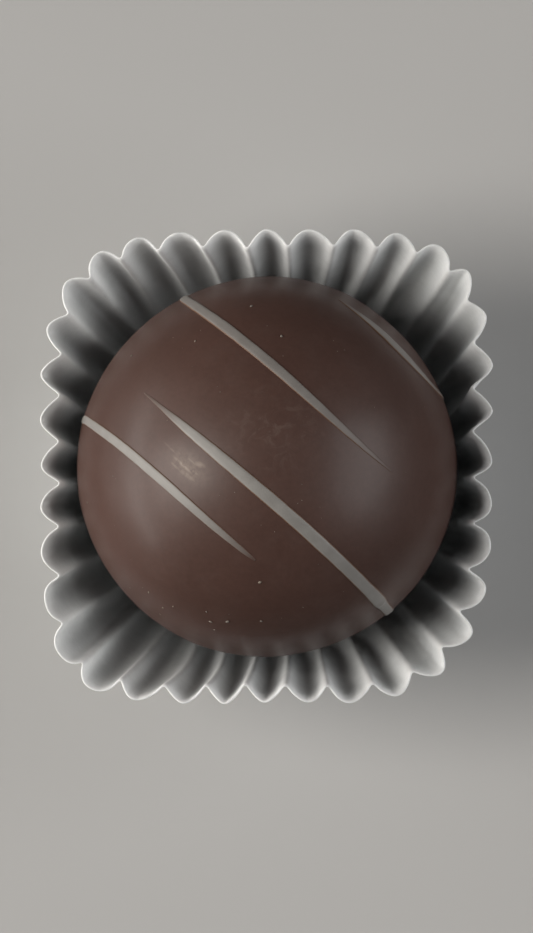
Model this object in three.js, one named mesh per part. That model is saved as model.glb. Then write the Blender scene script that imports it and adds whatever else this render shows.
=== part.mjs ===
// A round chocolate truffle standing in its fluted paper case.
// Units are millimetres, +Z is up. The origin is the middle of the case's underside.
// +X runs across the case's narrower way and +Y across its wider way.
import * as THREE from "three";

// ---- the truffle: a coated ball with a small flat foot, where it stood while it set ----
const BALL_WIDTH = 28.0; // across X
const BALL_DEPTH = 28.0; // across Y
const BALL_HEIGHT = 26.8; // foot to crown
const BALL_FOOT_R = 5.6; // radius of the flat foot
const BALL_UNEVEN = 0.05; // how far the hand-dipped coating strays from the ball
const BALL_SEGMENTS = 40;
const BALL_RINGS = 18;

// ---- the paper case: a pressed disc of paper, flat in the middle and pleated round the wall ----
const CASE_BASE_R = 12.7; // radius of the flat base, where the pleats start
const CASE_SLANT = 15.9; // length of the wall from base to rim, along the paper
const RIM_WIDTH = 33.0; // across the pleat tips in X
const RIM_DEPTH = 34.7; // across the pleat tips in Y
const PAPER = 0.3; // thickness of the case's wall and base
const PLEATS = 36;
const PLEAT_DEPTH = 1.42; // tip to inner crease, at the rim
const PLEAT_GROWTH = 0.9; // the pleats deepen as this power of the way up
const WALL_FLARE = 1.05; // 1 is a straight wall; more turns out towards the rim
const CREASE_STEPS = 4; // facets in each pleat: tip, flank, inner crease, flank
const WALL_LEVELS = 5;

const TAU = 2 * Math.PI;

// A slow wave round the case: a sum of sines, each given as [times round, height, phase].
function wave(a, terms) {
  return terms.reduce((sum, [m, h, p]) => sum + h * Math.sin(m * a + p), 0);
}

// The rim is a rounded square, as the case was pressed into one. Each corner is rounded a little differently:
// a higher power is a squarer corner.
function cornerPower(a) {
  return 4.42 - 0.3 * Math.cos(a) + 0.57 * Math.sin(2 * a);
}

// Distance from the axis to the pleat tips at the rim, at angle a.
function tipRadius(a) {
  const n = cornerPower(a);
  const x = Math.abs(Math.cos(a)) / (RIM_WIDTH / 2);
  const y = Math.abs(Math.sin(a)) / (RIM_DEPTH / 2);
  return Math.pow(Math.pow(x, n) + Math.pow(y, n), -1 / n);
}

// The pleats aren't all equally deep: they are pulled flatter round the corners.
function pleatDepth(a) {
  return (
    PLEAT_DEPTH +
    wave(a, [[1, 0.07, 3.1], [2, 0.06, 2.5], [3, 0.04, 2.24], [4, 0.09, 2.21], [5, 0.045, -0.76], [6, 0.035, -0.56], [8, 0.055, -0.33]])
  );
}

// The pleats are even round the base but not along the rim, so they turn a little between the two.
function turn(a) {
  return 0.006 + wave(a, [[1, 0.021, 1.68], [2, 0.028, 0.31], [3, 0.013, 1.3], [4, 0.03, -0.08], [5, 0.005, -0.81]]);
}

// One pleat across: 1 at the rounded outer tip, 0 at the sharper inner crease.
function pleat(a) {
  const p = (a / TAU) * PLEATS;
  const w = 2 * Math.abs(p - Math.round(p));
  return 0.75 * Math.cos((Math.PI / 2) * w) + 0.25 * Math.sqrt(Math.max(0, 1 - w * w));
}

// Halfway between tip and crease at the rim: its angle and its distance from the axis.
function rimMiddle(a) {
  const t = a + turn(a);
  return { t, r: tipRadius(t) - pleatDepth(a) / 2 };
}

// How far the way straight out of the rim turns from the way straight out from the axis.
function rimSkew(a) {
  const before = rimMiddle(a - 0.01);
  const after = rimMiddle(a + 0.01);
  return -Math.atan2(after.r - before.r, ((after.t - before.t) * (after.r + before.r)) / 2);
}

// The wall at angle a, a share s of the way from the base up to the rim. The pleats stand out square to the rim.
function wallPoint(a, s, inward) {
  const run = rimMiddle(a).r - CASE_BASE_R;
  const rise = Math.sqrt(CASE_SLANT * CASE_SLANT - run * run);
  const r = CASE_BASE_R + run * Math.pow(s, WALL_FLARE) - inward;
  const out = pleatDepth(a) * Math.pow(s, PLEAT_GROWTH) * (pleat(a) - 0.5);
  const turned = a + s * turn(a);
  const square = turned + s * rimSkew(a);
  return new THREE.Vector3(
    r * Math.cos(turned) + out * Math.cos(square),
    r * Math.sin(turned) + out * Math.sin(square),
    s * rise,
  );
}

// A lathe turned to stand on +Z, with a function that moves each of its points.
function standingLathe(profile, segments, place) {
  const g = new THREE.LatheGeometry(profile, segments);
  g.rotateX(Math.PI / 2);
  g.deleteAttribute("uv");
  const at = g.getAttribute("position");
  for (let i = 0; i <= segments; i++) {
    // the last column of a lathe lies on the first
    const a = ((i % segments) / segments) * TAU - Math.PI / 2;
    for (let j = 0; j < profile.length; j++) {
      const p = place(a, j, profile[j]);
      at.setXYZ(i * profile.length + j, p.x, p.y, p.z);
    }
  }
  g.computeVertexNormals();
  return g;
}

// ---- paper case ----
// Profile: underside from the axis out, up the outer face, over the rim, down the inner face, and back to the axis.
function makeCase() {
  const profile = [];
  const tags = [];
  const put = (r, z, tag) => {
    profile.push(new THREE.Vector2(r, z));
    tags.push(tag);
  };
  put(0, 0, { flat: true });
  put(CASE_BASE_R * 0.6, 0, { flat: true });
  for (let k = 0; k <= WALL_LEVELS; k++) put(CASE_BASE_R, k, { s: k / WALL_LEVELS, inward: 0 });
  for (let k = WALL_LEVELS; k >= 1; k--) put(CASE_BASE_R - PAPER, k, { s: k / WALL_LEVELS, inward: PAPER });
  put(CASE_BASE_R - PAPER, PAPER, { flat: true });
  put(CASE_BASE_R * 0.6, PAPER, { flat: true });
  put(0, PAPER, { flat: true });
  return standingLathe(profile, PLEATS * CREASE_STEPS, (a, j, p) => {
    const tag = tags[j];
    if (tag.flat) return new THREE.Vector3(p.x * Math.cos(a), p.x * Math.sin(a), p.y);
    return wallPoint(a, tag.s, tag.inward);
  });
}

// ---- truffle ----
// A ball cut off at its foot. The foot's radius and the height set where the ball's middle is.
function makeBall() {
  const waist = (BALL_WIDTH + BALL_DEPTH) / 4; // mean radius
  const lower = Math.asin(BALL_FOOT_R / waist); // angle from the downward axis to the foot's edge
  const zScale = BALL_HEIGHT / (waist * (1 + Math.cos(lower)));
  const centreZ = waist * Math.cos(lower) * zScale;
  const profile = [new THREE.Vector2(0, 0), new THREE.Vector2(BALL_FOOT_R * 0.5, 0)];
  for (let k = 0; k <= BALL_RINGS; k++) {
    const t = lower + ((Math.PI - lower) * k) / BALL_RINGS;
    const r = k === BALL_RINGS ? 0 : waist * Math.sin(t);
    profile.push(new THREE.Vector2(r, k === 0 ? 0 : centreZ - waist * Math.cos(t) * zScale));
  }
  return standingLathe(profile, BALL_SEGMENTS, (a, j, p) => {
    const side = Math.min(1, p.x / waist); // nothing strays on the axis
    const stray = BALL_UNEVEN * (Math.sin(3 * a + 0.9) + 0.6 * Math.sin(2 * a - 1.1 + p.y * 0.12)) * side * side;
    const r = p.x + (p.y > 0 ? stray : 0);
    return new THREE.Vector3(
      (r * BALL_WIDTH * Math.cos(a)) / (2 * waist),
      (r * BALL_DEPTH * Math.sin(a)) / (2 * waist),
      p.y,
    );
  });
}

const caseGeometry = makeCase();
caseGeometry.computeBoundingBox();
const middle = caseGeometry.boundingBox.getCenter(new THREE.Vector3());
caseGeometry.translate(-middle.x, -middle.y, 0); // the origin is exactly the middle of the rim's box

const paperCase = new THREE.Mesh(
  caseGeometry,
  new THREE.MeshStandardMaterial({ color: 0xd9dad6, roughness: 0.75, metalness: 0 }),
);
paperCase.name = "paper_case";

const truffle = new THREE.Mesh(
  makeBall(),
  new THREE.MeshStandardMaterial({ color: 0x4b352d, roughness: 0.45, metalness: 0 }),
);
truffle.name = "truffle";
truffle.position.z = PAPER; // it stands on the case's base

const group = new THREE.Group();
group.add(paperCase, truffle);

export default group;
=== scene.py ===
import math

import bpy
import numpy as np
from mathutils import Matrix, Vector


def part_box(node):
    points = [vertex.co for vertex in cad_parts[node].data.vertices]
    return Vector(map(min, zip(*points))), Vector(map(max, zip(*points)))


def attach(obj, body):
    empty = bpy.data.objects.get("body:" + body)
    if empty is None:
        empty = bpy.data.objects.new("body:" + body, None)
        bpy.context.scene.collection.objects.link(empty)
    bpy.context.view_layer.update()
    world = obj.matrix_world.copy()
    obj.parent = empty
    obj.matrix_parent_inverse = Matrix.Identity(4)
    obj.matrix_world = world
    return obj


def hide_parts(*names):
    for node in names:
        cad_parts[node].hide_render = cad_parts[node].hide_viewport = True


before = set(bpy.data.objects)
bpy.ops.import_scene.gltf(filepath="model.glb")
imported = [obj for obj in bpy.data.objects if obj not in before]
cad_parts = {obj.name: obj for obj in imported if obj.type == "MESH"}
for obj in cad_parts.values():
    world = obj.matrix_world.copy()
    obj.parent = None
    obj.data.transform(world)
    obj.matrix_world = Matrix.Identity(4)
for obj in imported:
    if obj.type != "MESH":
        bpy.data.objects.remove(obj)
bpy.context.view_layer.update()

MM = 0.001
TAU = 2 * math.pi

# ---------------------------------------------------------------- sizes, in millimetres
BALL_WIDTH, BALL_DEPTH, BALL_HEIGHT = 28.0, 28.0, 26.8
BALL_FOOT_R = 5.6
CASE_BASE_R, CASE_SLANT = 12.7, 15.9
RIM_WIDTH, RIM_DEPTH = 33.0, 34.7
PLEATS, PLEAT_DEPTH, PLEAT_GROWTH, WALL_FLARE = 36, 1.42, 0.9, 1.05
PAPER = 0.3           # height at which the truffle's foot stands
SHEET = 0.13          # the paper's own thickness

waist = (BALL_WIDTH + BALL_DEPTH) / 4
lower = math.asin(BALL_FOOT_R / waist)
z_scale = BALL_HEIGHT / (waist * (1 + math.cos(lower)))
BALL_C = np.array([0.0, 0.0, PAPER + waist * math.cos(lower) * z_scale])
BALL_R = np.array([BALL_WIDTH / 2, BALL_DEPTH / 2, waist * z_scale])
# the viewing point, from the ball's centre
EYE = np.array([17.0, -18.7, 450.0])


# ---------------------------------------------------------------- helpers
def wave(a, terms):
    return sum(h * np.sin(m * a + p) for m, h, p in terms)


def make_mesh(name, verts_mm, faces, smooth=True):
    me = bpy.data.meshes.new(name)
    me.from_pydata((np.asarray(verts_mm) * MM).tolist(), [], [list(map(int, f)) for f in faces])
    me.validate()
    me.update()
    if smooth:
        me.polygons.foreach_set("use_smooth", [True] * len(me.polygons))
    ob = bpy.data.objects.new(name, me)
    bpy.context.scene.collection.objects.link(ob)
    return ob


def float_attribute(ob, name, values):
    at = ob.data.attributes.new(name, "FLOAT", "POINT")
    at.data.foreach_set("value", np.asarray(values, np.float32))


class Ripple:
    """A smooth seeded field round the case: a sum of sines in the angle and the height."""

    def __init__(self, seed, terms, m_low, m_high, w_low, w_high):
        rng = np.random.default_rng(seed)
        self.m = rng.integers(m_low, m_high + 1, terms) * rng.choice([-1, 1], terms)
        self.w = rng.uniform(w_low, w_high, terms)
        self.p = rng.uniform(0, TAU, terms)
        self.h = 1 / np.sqrt(terms / 2)

    def __call__(self, a, s):
        out = np.zeros(np.broadcast(a, s).shape)
        for m, w, p in zip(self.m, self.w, self.p):
            out = out + np.sin(m * a + w * s + p)
        return out * self.h


class Lumps:
    """A smooth seeded field in space: a sum of plane waves of about the given wavelength."""

    def __init__(self, seed, terms, length_mm):
        rng = np.random.default_rng(seed)
        d = rng.normal(size=(terms, 3))
        d /= np.linalg.norm(d, axis=1)[:, None]
        self.k = d * TAU / (length_mm * rng.uniform(0.75, 1.4, terms))[:, None]
        self.p = rng.uniform(0, TAU, terms)
        self.h = 1 / math.sqrt(terms / 2)

    def __call__(self, pts):
        return np.sin(pts @ self.k.T + self.p).sum(1) * self.h


# ---------------------------------------------------------------- paper case
def corner_power(a):
    return 4.42 - 0.30 * np.cos(a) + 0.57 * np.sin(2 * a)


def tip_radius(a):
    n = corner_power(a)
    x = np.abs(np.cos(a)) / (RIM_WIDTH / 2)
    y = np.abs(np.sin(a)) / (RIM_DEPTH / 2)
    return (x**n + y**n) ** (-1 / n)


def pleat_depth(a):
    return PLEAT_DEPTH + wave(a, [(1, 0.07, 3.1), (2, 0.06, 2.5), (3, 0.04, 2.24), (4, 0.09, 2.21), (5, 0.045, -0.76),
                                  (6, 0.035, -0.56), (8, 0.055, -0.33)])


def turn(a):
    return 0.006 + wave(a, [(1, 0.021, 1.68), (2, 0.028, 0.31), (3, 0.013, 1.3), (4, 0.03, -0.08), (5, 0.005, -0.81)])


def near(a, degrees, width):
    d = (np.degrees(a) - degrees + 180) % 360 - 180
    return np.exp(-((d / width) ** 2))


def lean(a):
    # some pleats were pushed over a little as the truffle went in
    return 0.035 * near(a, 250, 20) - 0.015 * near(a, 107, 26)


def pleat(a):
    p = a / TAU * PLEATS
    w = 2 * np.abs(p - np.round(p))
    v = 1 - w
    v = (np.sqrt(v * v + 0.03**2) - 0.03) / (math.sqrt(1 + 0.03**2) - 0.03)
    w = 1 - v
    return 0.6 * np.cos(math.pi / 2 * w) + 0.4 * np.sqrt(np.clip(1 - w * w, 0, None))


crinkle = Ripple(11, 26, 6, 60, 1.0, 9.0)
crinkle_fine = Ripple(12, 30, 40, 200, 8.0, 40.0)
sway = Ripple(13, 14, 9, 34, 0.5, 5.0)
cut = Ripple(14, 18, 20, 160, 0.0, 0.1)


def rim_middle(a):
    """Halfway between tip and crease at the rim: the distance from the axis, and the angle there."""
    t = a + turn(a)
    return tip_radius(t) - pleat_depth(a) / 2, t


def rim_skew(a):
    """How far the way straight out of the rim turns from the way straight out from the axis."""
    e = 0.01
    (r0, t0), (r1, t1) = rim_middle(a - e), rim_middle(a + e)
    return -np.arctan2(r1 - r0, (t1 - t0) * (r0 + r1) / 2)


def wall(a, s):
    """The outer face of the case at angle a, a share s of the way up its wall, in millimetres."""
    depth = pleat_depth(a) + 0.10 * sway(a, 0 * s)
    middle, _ = rim_middle(a)
    run = middle - CASE_BASE_R
    rise = np.sqrt(CASE_SLANT**2 - run**2)
    up = np.clip(s, 1e-6, None)
    r = CASE_BASE_R + run * up**WALL_FLARE
    ease = np.clip(s * 4, 0, 1)
    out = depth * up**PLEAT_GROWTH * (pleat(a) - 0.5) + ease * (0.016 * crinkle(a, s) + 0.005 * crinkle_fine(a, s))
    # the cut rim turns out a little
    out = out + 0.09 * np.clip((s - 0.98) / 0.02, 0, 1) ** 1.6
    t = a + s * turn(a) + 4 * s * (1 - s) * lean(a) + ease * 0.005 * sway(a, s)
    q = t + s * rim_skew(a)                    # the pleats stand out square to the rim
    z = s * (rise + 0.035 * cut(a, s) + 0.05 * sway(a, 0 * s + 2.0))
    return np.stack([r * np.cos(t) + out * np.cos(q), r * np.sin(t) + out * np.sin(q), z], -1)


def make_case():
    columns = PLEATS * 22
    a = (np.arange(columns) + 0.5) / columns * TAU
    dirs = np.stack([np.cos(a), np.sin(a), 0 * a], -1)
    rows = []
    # the base bows up a little in the middle, to where the truffle stands on it
    for r in (1.2, 2.6, 4.2, 5.8, 7.2, 8.6, 9.8, 10.8, 11.5):
        q = min(1, max(0, (r - 5.8) / 5.2))
        z = (PAPER - SHEET) * (1 - q * q * (3 - 2 * q))
        rows.append(dirs * r + np.array([0, 0, z]))
    # the rounded edge where the base turns up into the wall
    s_edge = 0.075
    b0 = dirs * 11.75
    b1 = dirs * CASE_BASE_R
    b2 = wall(a, np.full(columns, s_edge))
    for u in np.linspace(0, 1, 9)[:-1]:
        rows.append((1 - u) ** 2 * b0 + 2 * u * (1 - u) * b1 + u * u * b2)
    steps = np.concatenate([np.linspace(s_edge, 0.9, 26), np.linspace(0.9, 0.98, 5)[1:], np.linspace(0.98, 1, 5)[1:]])
    for s in steps:
        rows.append(wall(a, np.full(columns, s)))
    grid = np.array(rows)                       # rows x columns x 3, the outer face
    # soften the folds a touch, as paper can't fold to a knife edge
    grid = 0.25 * np.roll(grid, 1, 1) + 0.5 * grid + 0.25 * np.roll(grid, -1, 1)
    du = np.roll(grid, -1, 1) - np.roll(grid, 1, 1)
    dv = np.gradient(grid, axis=0)
    normal = np.cross(du, dv)
    normal /= np.linalg.norm(normal, axis=2)[..., None] + 1e-12   # points out of the case
    for _ in range(2):
        normal = 0.25 * np.roll(normal, 1, 1) + 0.5 * normal + 0.25 * np.roll(normal, -1, 1)
    normal /= np.linalg.norm(normal, axis=2)[..., None] + 1e-12
    inner = grid - normal * SHEET
    n_rows = len(rows)
    # move the whole onto the solid's own middle
    lo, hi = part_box("paper_case")
    mid = np.array([(lo[i] + hi[i]) / 2 / MM for i in range(2)])
    have = np.array([(grid[..., i].min() + grid[..., i].max()) / 2 for i in range(2)])
    shift = np.array([*(mid - have), 0.0])
    grid, inner = grid + shift, inner + shift
    lift = -grid[..., 2].min()
    grid[..., 2] += lift
    inner[..., 2] += lift
    # the rounded cut edge: one ring between the two faces, standing a little proud
    edge = (grid[-1] + inner[-1]) / 2
    tangent = grid[-1] - grid[-2]
    tangent /= np.linalg.norm(tangent, axis=1)[:, None]
    edge = edge + tangent * SHEET * 0.35
    verts = np.concatenate([grid.reshape(-1, 3), inner.reshape(-1, 3), edge])
    c0 = np.array([[0, 0, grid[0, :, 2].mean()], [0, 0, inner[0, :, 2].mean()]]) + shift
    verts = np.concatenate([verts, c0])
    n_out, n_in = 0, n_rows * columns
    n_edge, n_c = 2 * n_rows * columns, 2 * n_rows * columns + columns
    faces = []
    j = np.arange(columns)
    k = (j + 1) % columns
    for i in range(n_rows - 1):
        o, p = n_out + i * columns, n_out + (i + 1) * columns
        faces.append(np.stack([o + j, o + k, p + k, p + j], 1))
        o, p = n_in + i * columns, n_in + (i + 1) * columns
        faces.append(np.stack([o + k, o + j, p + j, p + k], 1))
    o, p = n_out + (n_rows - 1) * columns, n_edge
    faces.append(np.stack([o + j, o + k, p + k, p + j], 1))
    o, p = n_edge, n_in + (n_rows - 1) * columns
    faces.append(np.stack([o + j, o + k, p + k, p + j], 1))
    faces = [list(f) for block in faces for f in block]
    faces += [[n_c, n_out + q, n_out + p] for p, q in zip(j, k)]
    faces += [[n_c + 1, n_in + p, n_in + q] for p, q in zip(j, k)]
    ob = make_mesh("paper_case_fine", verts, faces)
    # how thin the paper is: it thins up to the cut rim, and most where it was stretched round the corners
    share = np.concatenate([np.zeros(n_rows - len(steps)), steps])[:, None]
    corner = sum(w * near(a, d, 24) for d, w in ((45, 1.0), (135, 1.3), (225, 1.3), (315, 1.0)))[None]
    level = 0.45 * near(a, 90, 24) + 0.45 * near(a, 270, 24)
    q = np.clip((share - 0.58 + 0.05 * corner) / 0.34, 0, 1)
    fold = 2 * np.abs(a / TAU * PLEATS - np.round(a / TAU * PLEATS))
    thin = 0.05 + q * q * (3 - 2 * q) * (0.27 + 0.48 * corner + 0.3 * level[None]) * (0.6 + 0.7 * fold * fold)[None]
    thin = np.maximum(thin, 0.95 * np.clip((share - 0.80) / 0.18, 0, 1) ** 1.4)
    float_attribute(ob, "thin", np.concatenate([thin.reshape(-1)] * 2 + [np.full(columns, 0.9), [0, 0]]))
    # painted light and shade: the paper's colour is made lighter along its inner creases and up to its rim, as a
    # painted highlight where the light catches them, and darker in the hollows, as painted shade
    crease = np.clip((fold - 0.10) / 0.85, 0, 1)[None]
    top = np.clip((share - 0.78) / 0.15, 0, 1) * np.clip((fold - 0.62) / 0.38, 0, 1)[None]
    painted_rim_light = np.clip((share - 0.82) / 0.16, 0, 1) ** 1.3 * (1 - crease)
    white = 0.85 + 0.40 * crease + 0.13 * top + 0.42 * painted_rim_light
    float_attribute(ob, "white", np.concatenate([white.reshape(-1)] * 2 + [white[-1], [0.85, 0.85]]))
    return ob


# ---------------------------------------------------------------- truffle
swell = Lumps(21, 16, 21.0)
ripple = Lumps(22, 40, 5.5)
pit = Lumps(23, 60, 1.6)


def ball_surface(unit):
    """Points on the truffle's coating, from unit directions out of its centre, in millimetres."""
    p = unit * BALL_R
    rough = 0.07 * swell(p) + 0.012 * ripple(p) + 0.0022 * pit(p)
    rough = rough * np.clip((1.02 - np.abs(unit[:, 2])) * 5, 0.6, 1)
    return BALL_C + p + unit * rough[:, None]


def on_ball(p):
    """Points moved along the ball's radius onto its coating, with the normals there."""
    unit = (p - BALL_C) / BALL_R
    unit /= np.linalg.norm(unit, axis=1)[:, None]
    n = unit / BALL_R
    n /= np.linalg.norm(n, axis=1)[:, None]
    return ball_surface(unit), n


def make_ball():
    n = 84
    t = np.tan(np.linspace(-math.pi / 4, math.pi / 4, n + 1))
    u, v = np.meshgrid(t, t, indexing="ij")
    one = np.ones_like(u)
    sides = [(u, v, one), (v, u, -one), (one, u, v), (-one, v, u), (v, one, u), (u, -one, v)]
    verts, faces = [], []
    for side in sides:
        base = len(verts) * (n + 1) ** 2
        verts.append(np.stack(side, -1).reshape(-1, 3))
        i, j = np.meshgrid(np.arange(n), np.arange(n), indexing="ij")
        q = base + i * (n + 1) + j
        faces.append(np.stack([q, q + n + 1, q + n + 2, q + 1], -1).reshape(-1, 4))
    verts = np.concatenate(verts)
    faces = np.concatenate(faces)
    verts /= np.linalg.norm(verts, axis=1)[:, None]
    # one vertex where the sides meet
    key = np.round(verts * 1e6).astype(np.int64)
    _, first, back = np.unique(key, axis=0, return_index=True, return_inverse=True)
    verts = verts[first]
    faces = back.reshape(-1)[faces]
    unit = verts
    pts = ball_surface(unit)
    # the flat foot, with a soft edge where the coating pooled
    foot = PAPER
    z = pts[:, 2] - foot
    soft = 0.35
    pts[:, 2] = foot + np.where(z > soft, z, np.where(z < -soft, 0, (z + soft) ** 2 / (4 * soft)))
    # closed and facing out
    a, b, c = pts[faces[:, 0]], pts[faces[:, 1]], pts[faces[:, 2]]
    out = np.einsum("ij,ij->i", np.cross(b - a, c - a), a - BALL_C)
    faces[out < 0] = faces[out < 0][:, ::-1]
    return make_mesh("truffle_fine", pts, faces)


# ---------------------------------------------------------------- drizzle
# Each stripe's course over the ball as seen from the viewing point: x to the right and y up from the ball's centre, and the
# stripe's width there, all in millimetres. A stripe that starts or ends past the ball's edge runs on over its side.
STRIPES = {
    "drizzle_1": [(-7.05, 13.05, 0.55), (-6.27, 12.53, 0.66), (-3.57, 10.90, 0.76), (-1.39, 9.11, 0.74), (0.70, 7.27, 0.72),
                  (2.29, 5.83, 0.66), (4.07, 4.34, 0.56), (5.66, 2.80, 0.45), (7.26, 1.32, 0.30), (8.25, 0.42, 0.19), (9.09, -0.33, 0.05)],
    "drizzle_2": [(5.26, 12.35, 0.08), (6.85, 11.31, 0.26), (8.25, 10.12, 0.38), (9.73, 8.61, 0.44), (11.21, 7.22, 0.44),
                  (12.52, 5.83, 0.40), (13.85, 4.25, 0.36)],
    "drizzle_3": [(-9.24, 5.59, 0.05), (-7.66, 4.34, 0.32), (-6.07, 2.95, 0.62), (-4.38, 1.56, 0.80), (-2.38, -0.02, 0.88),
                  (-0.70, -1.67, 0.92), (1.28, -3.35, 0.93), (3.77, -5.44, 0.95), (5.75, -7.33, 0.93), (7.30, -8.80, 0.92),
                  (8.20, -9.80, 1.03), (8.52, -10.16, 0.80), (9.15, -10.95, 0.70)],
    "drizzle_4": [(-13.47, 3.54, 0.60), (-11.39, 2.08, 0.67), (-9.38, 0.41, 0.69), (-7.93, -0.85, 0.68), (-6.15, -2.36, 0.61),
                  (-4.46, -3.85, 0.53), (-2.97, -5.13, 0.41), (-1.68, -6.14, 0.27), (-0.92, -6.86, 0.05)],
}
FRINGE = 0.08         # the thin brown-tinged film along both edges, added to the width
BEADS = {"drizzle_3": (8.36, -9.97)}     # where the bag was pulled away and left a small bead
BODY = {"drizzle_1": 0.80, "drizzle_2": 0.86, "drizzle_3": 1.0, "drizzle_4": 1.0}   # how well each stripe covers
OVER_SIDE = {"drizzle_1": "start", "drizzle_2": "end", "drizzle_3": "end", "drizzle_4": "start"}


def course_of(points, steps=240):
    """A stripe's course and width: one gentle bend along its points, with the width going smoothly from each to the next."""
    p = np.asarray(points, float)
    ahead = (p[-1, :2] - p[0, :2]) / np.linalg.norm(p[-1, :2] - p[0, :2])
    aside = np.array([-ahead[1], ahead[0]])
    t, off = (p[:, :2] - p[0, :2]) @ ahead, (p[:, :2] - p[0, :2]) @ aside
    bend = np.polyfit(t, off, 3)
    at = np.linspace(t[0], t[-1], steps)
    xy = p[0, :2] + at[:, None] * ahead + np.polyval(bend, at)[:, None] * aside
    width = through(np.stack([t, p[:, 2]], 1))
    return np.concatenate([xy, np.interp(at, width[:, 0], width[:, 1])[:, None]], 1)


def through(points, per_span=14):
    """A smooth curve through the points."""
    p = np.asarray(points, float)
    p = np.concatenate([[2 * p[0] - p[1]], p, [2 * p[-1] - p[-2]]])
    out = []
    t = np.linspace(0, 1, per_span, endpoint=False)[:, None]
    for a, b, c, d in zip(p, p[1:], p[2:], p[3:]):
        out.append(0.5 * (2 * b + (c - a) * t + (2 * a - 5 * b + 4 * c - d) * t**2 + (3 * b - a - 3 * c + d) * t**3))
    return np.concatenate(out + [p[-2:-1]])


def seen_on_ball(xy):
    """Where the sight lines through these points of the plane of the ball's centre first meet the ball."""
    q = np.concatenate([xy, np.zeros((len(xy), 1))], 1)
    d = (q - EYE) / BALL_R
    e = EYE / BALL_R
    a = (d * d).sum(1)
    b = (d * e).sum(1)
    c = (e * e).sum() - 1
    root = np.sqrt(np.clip(b * b - a * c, 0, None))
    t = (-b - root) / a
    return BALL_C + EYE + (q - EYE) * t[:, None]


def run_over_side(pts, widths, at_end):
    """Carries a stripe on from the ball's edge, down its side, where it thins and stops."""
    if not at_end:
        pts, widths = pts[::-1], widths[::-1]
    p, n = on_ball(pts[-1:])
    ahead = pts[-1] - pts[-6]
    ahead = ahead - n[0] * ahead.dot(n[0])
    ahead /= np.linalg.norm(ahead)
    down = np.array([0, 0, -1.0])
    more, wide = [], []
    q = pts[-1]
    for i in range(16):
        f = i / 15
        _, n = on_ball(q[None])
        d = ahead * max(0.0, 0.8 - 4 * f) + down
        d = d - n[0] * d.dot(n[0])
        d /= np.linalg.norm(d)
        q, _ = on_ball((q + d * 0.17)[None])
        q = q[0]
        ahead = d
        more.append(q)
        wide.append(widths[-1] * (1 - 0.15 * f) * math.sqrt(max(0.0, 1 - f**3)) + 0.03)
    pts, widths = np.concatenate([pts, more]), np.concatenate([widths, wide])
    return (pts, widths) if at_end else (pts[::-1], widths[::-1])


def make_stripe(name, course, seed):
    rng = np.random.default_rng(seed)
    line = course_of(course)
    line = line[np.linalg.norm(line[:, :2], axis=1) < waist]
    pts, widths = seen_on_ball(line[:, :2]), np.clip(line[:, 2], 0.02, None)
    # the width on the ball, from the width as seen
    _, nor = on_ball(pts)
    side = np.cross(nor, np.gradient(pts, axis=0))
    side /= np.linalg.norm(side, axis=1)[:, None]
    sight = EYE / np.linalg.norm(EYE)
    seen = np.linalg.norm(side - (side @ sight)[:, None] * sight, axis=1)
    widths = widths / np.clip(seen, 0.3, 1) + FRINGE
    if name in OVER_SIDE:
        pts, widths = run_over_side(pts, widths, OVER_SIDE[name] == "end")
    # even steps along it
    far = np.concatenate([[0], np.cumsum(np.linalg.norm(np.diff(pts, axis=0), axis=1))])
    n = int(far[-1] / 0.09)
    at = np.linspace(0, far[-1], n)
    pts = np.stack([np.interp(at, far, pts[:, i]) for i in range(3)], 1)
    widths = np.interp(at, far, widths)
    for _ in range(6):
        pts[1:-1] = 0.25 * pts[:-2] + 0.5 * pts[1:-1] + 0.25 * pts[2:]
        widths[1:-1] = 0.25 * widths[:-2] + 0.5 * widths[1:-1] + 0.25 * widths[2:]
    ph = rng.uniform(0, TAU, 6)
    shake = sum(np.sin(at * TAU / l + ph[i]) for i, l in enumerate((0.9, 1.7, 3.1))) / 3
    swellw = sum(np.sin(at * TAU / l + ph[3 + i]) for i, l in enumerate((1.3, 2.4, 4.7))) / 3
    widths = widths * (1 + 0.02 * swellw)
    _, nor = on_ball(pts)
    tan = np.gradient(pts, axis=0)
    tan /= np.linalg.norm(tan, axis=1)[:, None]
    side = np.cross(nor, tan)
    side /= np.linalg.norm(side, axis=1)[:, None]
    pts = pts + side * (0.006 * shake)[:, None]
    across = np.sin(np.linspace(-1, 1, 17) * math.pi / 2)
    top = []
    tall = 0.11 * np.clip(widths / 0.9, 0.12, 1.1) ** 0.8 * (1 + 0.04 * np.roll(swellw, 7))
    bead = np.zeros(n)
    if name in BEADS:
        at_bead = seen_on_ball(np.array([BEADS[name]]))
        bead = np.exp(-(np.linalg.norm(pts - at_bead, axis=1) / 0.26) ** 2)
    for v in across:
        p, nn = on_ball(pts + side * (v * widths / 2)[:, None])
        h = tall * (1 - v**4) ** 0.6 + 0.10 * bead * np.exp(-((v / 0.5) ** 2)) + 0.004
        top.append(p + nn * h[:, None])
    under = []
    for v in across[1:-1]:
        p, nn = on_ball(pts + side * (v * widths / 2 * 0.96)[:, None])
        under.append(p - nn * 0.05)
    ring = top + under[::-1]
    k = len(ring)
    verts = np.stack(ring, 1).reshape(-1, 3)       # n x k
    faces = []
    for i in range(n - 1):
        for j in range(k):
            j2 = (j + 1) % k
            faces.append([i * k + j, i * k + j2, (i + 1) * k + j2, (i + 1) * k + j])
    faces.append([j for j in range(k)][::-1])
    faces.append([(n - 1) * k + j for j in range(k)])
    edge = np.concatenate([np.abs(across), np.abs(across[1:-1][::-1])])
    covers = BODY[name] * np.clip((widths - FRINGE - 0.05) / 0.60, 0.12, 1) ** 1.15
    fade = 1 - covers
    return verts, faces, np.tile(edge, n), np.repeat(fade, k)


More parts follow.
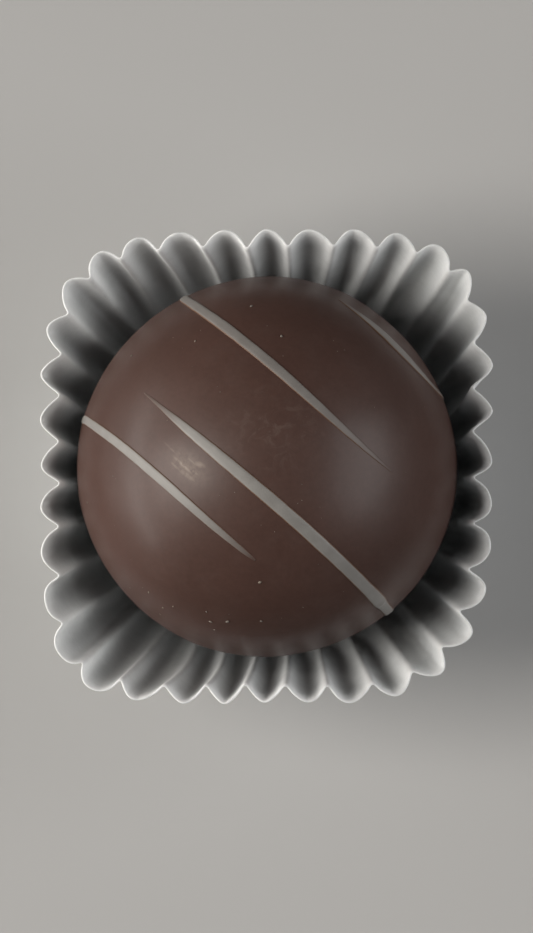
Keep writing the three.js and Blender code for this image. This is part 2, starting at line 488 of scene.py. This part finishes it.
def make_drizzle():
    pieces = []
    for i, (name, course) in enumerate(STRIPES.items()):
        verts, faces, edge, fade = make_stripe(name, course, 31 + i)
        ob = make_mesh(name, verts, faces)
        float_attribute(ob, "edge", edge)
        float_attribute(ob, "fade", fade)
        pieces.append(ob)
    return pieces


# ---------------------------------------------------------------- specks of dust
SPECKS = [(-4.18, -11.31, 0.085), (-2.93, -11.31, 0.10), (-0.46, -11.31, 0.06), (-4.47, -10.56, 0.06), (-3.88, -11.91, 0.05),
          (-8.70, -9.13, 0.06), (-10.10, -8.83, 0.05), (-7.66, -10.26, 0.05), (-7.86, -10.76, 0.05), (-6.91, -10.17, 0.055),
          (-0.55, -8.43, 0.075), (-11.43, -0.62, 0.05), (-13.27, -2.57, 0.06), (-1.19, 12.00, 0.085), (-5.42, 9.51, 0.06),
          (-10.13, 8.37, 0.06), (1.04, 9.80, 0.07)]


def make_specks():
    rng = np.random.default_rng(41)
    xy = np.array([s[:2] for s in SPECKS])
    size = np.array([1.35 * s[2] for s in SPECKS])
    # finer dust between, and a little all round where it can't be counted
    more = rng.uniform(0, TAU, 46)
    rad = 13.2 * np.sqrt(rng.uniform(0, 1, 46))
    xy = np.concatenate([xy, np.stack([rad * np.cos(more), rad * np.sin(more)], 1)])
    size = np.concatenate([size, rng.uniform(0.018, 0.036, 46)])
    pts, nor = on_ball(seen_on_ball(xy))
    # a small rounded crumb: an octahedron split once
    base = np.array([(1, 0, 0), (-1, 0, 0), (0, 1, 0), (0, -1, 0), (0, 0, 1), (0, 0, -1)], float)
    tri = [(0, 2, 4), (2, 1, 4), (1, 3, 4), (3, 0, 4), (2, 0, 5), (1, 2, 5), (3, 1, 5), (0, 3, 5)]
    v, f, seen = list(base), [], {}

    def halfway(i, j):
        key = (min(i, j), max(i, j))
        if key not in seen:
            m = v[i] + v[j]
            v.append(m / np.linalg.norm(m))
            seen[key] = len(v) - 1
        return seen[key]

    for a, b, c in tri:
        ab, bc, ca = halfway(a, b), halfway(b, c), halfway(c, a)
        f += [(a, ab, ca), (ab, b, bc), (ca, bc, c), (ab, bc, ca)]
    crumb = np.array(v)
    verts, faces = [], []
    for p, n, s in zip(pts, nor, size):
        x = np.cross(n, [0.3, 0.8, 0.52])
        x /= np.linalg.norm(x)
        y = np.cross(n, x)
        shape = crumb * (1 + 0.22 * rng.normal(size=(len(crumb), 1)))
        st = rng.uniform(0.75, 1.35)
        turned = rng.uniform(0, TAU)
        cx, cy = shape[:, 0] * st, shape[:, 1] / st
        cx, cy = cx * math.cos(turned) - cy * math.sin(turned), cx * math.sin(turned) + cy * math.cos(turned)
        base_i = len(verts)
        for k in range(len(crumb)):
            verts.append(p + s * (x * cx[k] + y * cy[k] + n * (0.55 * shape[k, 2] + 0.2)))
        faces += [[base_i + i for i in t] for t in f]
    return make_mesh("dust_specks", np.array(verts), faces)


# ---------------------------------------------------------------- materials
def material(name):
    m = bpy.data.materials.new(name)
    m.use_nodes = True
    nt = m.node_tree
    nt.nodes.clear()
    out = nt.nodes.new("ShaderNodeOutputMaterial")
    bsdf = nt.nodes.new("ShaderNodeBsdfPrincipled")
    nt.links.new(bsdf.outputs[0], out.inputs[0])
    return m, nt, bsdf


def node(nt, kind, **values):
    n = nt.nodes.new(kind)
    for key, val in values.items():
        if key in n.inputs:
            n.inputs[key].default_value = val
        else:
            setattr(n, key, val)
    return n


def link(nt, a, b):
    nt.links.new(a, b)


def noise(nt, coords, scale, detail=3.0, rough=0.55, distort=0.0):
    n = nt.nodes.new("ShaderNodeTexNoise")
    n.inputs["Scale"].default_value = scale
    n.inputs["Detail"].default_value = detail
    n.inputs["Roughness"].default_value = rough
    n.inputs["Distortion"].default_value = distort
    link(nt, coords, n.inputs["Vector"])
    return n.outputs["Fac"]


def ramp(nt, fac, stops, interpolation="EASE"):
    r = nt.nodes.new("ShaderNodeValToRGB")
    r.color_ramp.interpolation = interpolation
    el = r.color_ramp.elements
    while len(el) < len(stops):
        el.new(0.5)
    for e, (p, c) in zip(el, stops):
        e.position = p
        e.color = (*c, 1) if len(c) == 3 else c
    link(nt, fac, r.inputs["Fac"])
    return r.outputs["Color"]


def spread(nt, fac, lo, hi, to_lo, to_hi):
    n = nt.nodes.new("ShaderNodeMapRange")
    n.inputs["From Min"].default_value = lo
    n.inputs["From Max"].default_value = hi
    n.inputs["To Min"].default_value = to_lo
    n.inputs["To Max"].default_value = to_hi
    link(nt, fac, n.inputs["Value"])
    return n.outputs["Result"]


def math_node(nt, op, a, b=None, clamp=False):
    n = nt.nodes.new("ShaderNodeMath")
    n.operation = op
    n.use_clamp = clamp
    for i, x in enumerate((a, b)):
        if x is None:
            continue
        if isinstance(x, (int, float)):
            n.inputs[i].default_value = x
        else:
            link(nt, x, n.inputs[i])
    return n.outputs[0]


def mix(nt, fac, a, b, blend="MIX"):
    n = nt.nodes.new("ShaderNodeMix")
    n.data_type = "RGBA"
    n.blend_type = blend
    for sock, x in ((n.inputs[0], fac), (n.inputs[6], a), (n.inputs[7], b)):
        if isinstance(x, (int, float)):
            sock.default_value = x
        elif isinstance(x, tuple):
            sock.default_value = (*x, 1)
        else:
            link(nt, x, sock)
    return n.outputs[2]


def bump(nt, height, strength, distance, under=None):
    n = nt.nodes.new("ShaderNodeBump")
    n.inputs["Strength"].default_value = strength
    n.inputs["Distance"].default_value = distance
    link(nt, height, n.inputs["Height"])
    if under is not None:
        link(nt, under, n.inputs["Normal"])
    return n.outputs["Normal"]


def object_coords(nt):
    return nt.nodes.new("ShaderNodeTexCoord").outputs["Object"]


def ball_mask(nt, coords, centre_mm, radius_mm):
    """1 at a point of the ball, falling to 0 at that distance from it."""
    sub = nt.nodes.new("ShaderNodeVectorMath")
    sub.operation = "DISTANCE"
    link(nt, coords, sub.inputs[0])
    sub.inputs[1].default_value = [c * MM for c in centre_mm]
    return spread(nt, sub.outputs["Value"], 0.0, radius_mm * MM, 1.0, 0.0)


def stretched(nt, coords, angle, along, over):
    """Coordinates for marks drawn out along a direction in plan."""
    m = nt.nodes.new("ShaderNodeMapping")
    m.vector_type = "TEXTURE"
    m.inputs["Rotation"].default_value = (0, 0, angle)
    m.inputs["Scale"].default_value = (along, over, over)
    link(nt, coords, m.inputs["Vector"])
    return m.outputs["Vector"]


def streak(nt, coords, centre_mm, angle, half_long_mm, half_wide_mm):
    """1 along a short straight mark on the ball, falling to 0 at its edges."""
    m = nt.nodes.new("ShaderNodeMapping")
    m.vector_type = "TEXTURE"
    m.inputs["Location"].default_value = [c * MM for c in centre_mm]
    m.inputs["Rotation"].default_value = (0, 0, angle)
    m.inputs["Scale"].default_value = (half_long_mm * MM, half_wide_mm * MM, 2.5 * MM)
    link(nt, coords, m.inputs["Vector"])
    far = nt.nodes.new("ShaderNodeVectorMath")
    far.operation = "LENGTH"
    link(nt, m.outputs["Vector"], far.inputs[0])
    n = nt.nodes.new("ShaderNodeMapRange")
    n.interpolation_type = "SMOOTHSTEP"
    n.inputs["From Min"].default_value = 1.0
    n.inputs["From Max"].default_value = 0.0
    n.inputs["To Min"].default_value = 0.0
    n.inputs["To Max"].default_value = 1.0
    link(nt, far.outputs["Value"], n.inputs["Value"])
    return n.outputs["Result"]


# Fine rub marks, painted lighter partly as a highlight, and last the widest, a broad painted sheen: place as seen (mm),
# direction (degrees), half length and half width (mm), strength.
RUBS_AND_SHEEN = [(-6.25, 0.18, -43, 1.55, 0.22, 0.80), (-5.95, -0.55, -36, 1.20, 0.30, 0.55), (-5.05, 0.22, -24, 0.70, 0.36, 0.60),
        (-6.75, 0.05, -43, 1.00, 0.16, 0.45), (-5.55, 0.42, -42, 1.10, 0.16, 0.45), (-5.40, -0.30, -42, 0.90, 0.18, 0.55),
        (-7.10, 1.35, -44, 1.20, 0.13, 0.28), (-6.30, 0.85, -44, 1.00, 0.13, 0.32), (-5.85, 0.10, -42, 2.60, 1.45, 0.30)]


def chocolate():
    m, nt, bsdf = material("chocolate")
    co = object_coords(nt)
    broad = noise(nt, co, 130.0, 3.0, 0.5, 0.3)
    cloud = noise(nt, co, 420.0, 4.0, 0.6, 0.6)
    grain = noise(nt, co, 2600.0, 3.0, 0.6)
    base = ramp(nt, broad, [(0.30, (0.0672, 0.0340, 0.0262)), (0.70, (0.0772, 0.0396, 0.0308))])
    light = ramp(nt, cloud, [(0.45, (0.0, 0.0, 0.0)), (0.72, (1, 1, 1))])
    base = mix(nt, math_node(nt, "MULTIPLY", light, 0.16), base, (0.096, 0.060, 0.050))
    fine = spread(nt, grain, 0.3, 0.7, 0.93, 1.07)
    base = mix(nt, 1.0, base, fine, "MULTIPLY")
    # a thin cloud of bloom near the crown
    spot, _ = on_ball(seen_on_ball(np.array([[0.6, 3.0]])))
    bloom = math_node(nt, "MULTIPLY", ball_mask(nt, co, spot[0], 4.2), ramp(nt, noise(nt, co, 900.0, 5.0, 0.65, 1.2), [(0.48, (0, 0, 0)), (0.64, (1, 1, 1))]))
    base = mix(nt, math_node(nt, "MULTIPLY", bloom, 0.52), base, (0.133, 0.090, 0.075))
    # a rubbed patch between two stripes: fine marks along their direction, their lighter colour partly a painted
    # highlight, under a broad painted sheen
    rub_and_sheen = None
    for x, y, degrees, half_long, half_wide, strength in RUBS_AND_SHEEN:
        mid, _ = on_ball(seen_on_ball(np.array([[x, y]])))
        one = streak(nt, co, mid[0], math.radians(degrees), half_long, half_wide)
        one = math_node(nt, "MULTIPLY", one, strength)
        rub_and_sheen = one if rub_and_sheen is None else math_node(nt, "MAXIMUM", rub_and_sheen, one)
    wear_and_sheen_breakup = ramp(nt, noise(nt, co, 2400.0, 3.0, 0.6), [(0.34, (0.35, 0.35, 0.35)), (0.60, (1, 1, 1))])
    rub_and_sheen = math_node(nt, "MULTIPLY", rub_and_sheen, wear_and_sheen_breakup)
    # the rub marks and the sheen round them go into the base colour as a lighter brown: partly real wear, partly
    # painted highlight and sheen
    base = mix(nt, rub_and_sheen, base, (0.25, 0.19, 0.145))
    link(nt, base, bsdf.inputs["Base Color"])
    rough = spread(nt, cloud, 0.3, 0.7, 0.50, 0.56)
    rough = math_node(nt, "SUBTRACT", rough, math_node(nt, "MULTIPLY", rub_and_sheen, 0.10))
    link(nt, rough, bsdf.inputs["Roughness"])
    bsdf.inputs["IOR"].default_value = 1.41
    bsdf.inputs["Subsurface Weight"].default_value = 0.0
    bsdf.inputs["Coat Weight"].default_value = 0.32
    bsdf.inputs["Coat Roughness"].default_value = 0.30
    bsdf.inputs["Coat IOR"].default_value = 1.42
    n1 = bump(nt, grain, 0.10, 0.00003)
    n2 = bump(nt, cloud, 0.16, 0.00012, n1)
    link(nt, n2, bsdf.inputs["Normal"])
    return m


def white_drizzle():
    m, nt, bsdf = material("white_drizzle")
    co = object_coords(nt)
    at = nt.nodes.new("ShaderNodeAttribute")
    at.attribute_name = "edge"
    edge = at.outputs["Fac"]
    cloud = noise(nt, co, 900.0, 3.0, 0.55)
    grain = noise(nt, co, 5200.0, 2.0, 0.6)
    body = ramp(nt, cloud, [(0.3, (0.238, 0.228, 0.215)), (0.7, (0.264, 0.254, 0.240))])
    # where it runs thin at its tips and edges the brown shows through
    tip = nt.nodes.new("ShaderNodeAttribute")
    tip.attribute_name = "fade"
    body = mix(nt, tip.outputs["Fac"], body, (0.083, 0.048, 0.039))
    shows = ramp(nt, edge, [(0.76, (0, 0, 0)), (0.97, (1, 1, 1))])
    body = mix(nt, shows, body, (0.125, 0.060, 0.030))
    link(nt, body, bsdf.inputs["Base Color"])
    link(nt, spread(nt, cloud, 0.3, 0.7, 0.42, 0.54), bsdf.inputs["Roughness"])
    bsdf.inputs["IOR"].default_value = 1.47
    n1 = bump(nt, grain, 0.12, 0.00002)
    n2 = bump(nt, cloud, 0.2, 0.00008, n1)
    link(nt, n2, bsdf.inputs["Normal"])
    return m


def paper():
    m, nt, bsdf = material("paper")
    co = object_coords(nt)
    fibre_a = noise(nt, stretched(nt, co, 0.6, 5.0, 1.0), 5200.0, 3.0, 0.6, 0.8)
    fibre_b = noise(nt, stretched(nt, co, 2.2, 5.0, 1.0), 4600.0, 3.0, 0.6, 0.8)
    fibre = math_node(nt, "MULTIPLY", math_node(nt, "ADD", fibre_a, fibre_b), 0.5)
    flock = noise(nt, co, 700.0, 4.0, 0.6)
    white = nt.nodes.new("ShaderNodeAttribute")
    white.attribute_name = "white"
    base = ramp(nt, flock, [(0.3, (0.60, 0.625, 0.633)), (0.7, (0.635, 0.66, 0.668))])
    # the 'white' attribute lightens the creases and the rim and darkens the hollows: painted light and painted shade
    base = mix(nt, 1.0, base, white.outputs["Fac"], "MULTIPLY")
    base = mix(nt, 1.0, base, spread(nt, fibre, 0.35, 0.65, 0.965, 1.03), "MULTIPLY")
    link(nt, base, bsdf.inputs["Base Color"])
    link(nt, spread(nt, fibre, 0.35, 0.65, 0.72, 0.86), bsdf.inputs["Roughness"])
    bsdf.inputs["IOR"].default_value = 1.42
    bsdf.inputs["Specular IOR Level"].default_value = 0.3
    # thin paper lets part of the light through, most of all towards its rim
    thin = nt.nodes.new("ShaderNodeAttribute")
    thin.attribute_name = "thin"
    link(nt, thin.outputs["Fac"], bsdf.inputs["Subsurface Weight"])
    bsdf.inputs["Subsurface Radius"].default_value = (1.0, 1.0, 1.0)
    bsdf.inputs["Subsurface Scale"].default_value = 0.0004
    n1 = bump(nt, fibre, 0.22, 0.00004)
    n2 = bump(nt, flock, 0.15, 0.00010, n1)
    link(nt, n2, bsdf.inputs["Normal"])
    return m


def dust():
    m, nt, bsdf = material("dust")
    co = object_coords(nt)
    tone = noise(nt, co, 350.0, 1.0, 0.5)
    link(nt, ramp(nt, tone, [(0.35, (0.17, 0.150, 0.130)), (0.65, (0.25, 0.21, 0.17))]), bsdf.inputs["Base Color"])
    bsdf.inputs["Roughness"].default_value = 0.7
    return m


def floor_material():
    m, nt, bsdf = material("floor")
    co = object_coords(nt)
    soft = noise(nt, co, 6.0, 2.0, 0.5)
    link(nt, ramp(nt, soft, [(0.3, (0.47, 0.47, 0.465)), (0.7, (0.49, 0.49, 0.485))]), bsdf.inputs["Base Color"])
    bsdf.inputs["Roughness"].default_value = 0.9
    bsdf.inputs["Specular IOR Level"].default_value = 0.2
    return m


# ---------------------------------------------------------------- the pieces
case = make_case()
case.data.materials.append(paper())
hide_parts("paper_case")
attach(case, "root")

ball = make_ball()
ball.data.materials.append(chocolate())
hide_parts("truffle")
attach(ball, "root")

white = white_drizzle()
for stripe in make_drizzle():
    stripe.data.materials.append(white)
    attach(stripe, "root")

specks = make_specks()
specks.data.materials.append(dust())
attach(specks, "root")

# ---------------------------------------------------------------- floor, light and camera
floor = make_mesh("floor", [(-3000, -3000, 0), (3000, -3000, 0), (3000, 3000, 0), (-3000, 3000, 0)], [(0, 1, 2, 3)], smooth=False)
floor.data.materials.append(floor_material())
floor.location.z = -0.00002
floor.visible_glossy = False


def softbox(name, at, size, watts, colour):
    li = bpy.data.lights.new(name, "AREA")
    li.shape = "RECTANGLE"
    li.size, li.size_y = size
    li.energy = watts
    li.color = colour
    ob = bpy.data.objects.new(name, li)
    bpy.context.scene.collection.objects.link(ob)
    ob.location = at
    aim = Vector((0, 0, 0.014)) - Vector(at)
    ob.rotation_mode = "QUATERNION"
    ob.rotation_quaternion = aim.to_track_quat("-Z", "Y")
    ob.visible_camera = False
    return ob


def place(from_vertical_deg, towards_deg, far):
    t, p = math.radians(from_vertical_deg), math.radians(towards_deg)
    return (far * math.sin(t) * math.cos(p), far * math.sin(t) * math.sin(p), 0.014 + far * math.cos(t))


softbox("left_box", place(49, 180, 0.60), (0.30, 0.46), 3.12, (1.0, 0.95, 0.89))
softbox("left_low_box", place(77, 180, 0.60), (0.90, 0.24), 1.30, (1.0, 0.965, 0.92)).visible_glossy = False
softbox("left_card", place(86.5, 180, 0.90), (1.12, 0.10), 3.60, (1.0, 0.965, 0.93))
softbox("right_box", place(61, 0, 0.60), (0.56, 0.36), 1.95, (1.0, 0.985, 0.98))

world = bpy.data.worlds.new("studio")
bpy.context.scene.world = world
world.use_nodes = True
wn = world.node_tree
bg = wn.nodes["Background"]
bg.inputs["Color"].default_value = (0.95, 0.97, 1.0, 1)
bg.inputs["Strength"].default_value = 0.02
# a pale backdrop behind the floor's far edge; it gives no light
backdrop = wn.nodes.new("ShaderNodeBackground")
backdrop.inputs["Color"].default_value = (0.42, 0.42, 0.415, 1)
backdrop.inputs["Strength"].default_value = 1.0
path = wn.nodes.new("ShaderNodeLightPath")
either = wn.nodes.new("ShaderNodeMixShader")
wn.links.new(path.outputs["Is Camera Ray"], either.inputs[0])
wn.links.new(bg.outputs[0], either.inputs[1])
wn.links.new(backdrop.outputs[0], either.inputs[2])
wn.links.new(either.outputs[0], wn.nodes["World Output"].inputs[0])

cam_data = bpy.data.cameras.new("camera")
cam = bpy.data.objects.new("camera", cam_data)
bpy.context.scene.collection.objects.link(cam)
aim_at = np.array([0.0, 0.0, 15.0])
eye = BALL_C + EYE
cam.location = (eye * MM).tolist()
ahead = Vector((aim_at - eye).tolist()).normalized()
right = ahead.cross(Vector((0, 1, 0))).normalized()
cam.rotation_mode = "QUATERNION"
cam.rotation_quaternion = Matrix((right, right.cross(ahead), -ahead)).transposed().to_quaternion()
cam_data.sensor_width = 36.0
across_mm = 39.2                                  # how much of the object's level the frame's width takes in
cam_data.lens = 36.0 * float(np.linalg.norm(eye - aim_at)) / (across_mm * 933 / 533)
cam_data.clip_start, cam_data.clip_end = 0.01, 20.0
bpy.context.scene.camera = cam

bpy.context.scene.view_settings.view_transform = "Standard"
bpy.context.scene.view_settings.look = "None"
bpy.context.scene.view_settings.exposure = 0.0
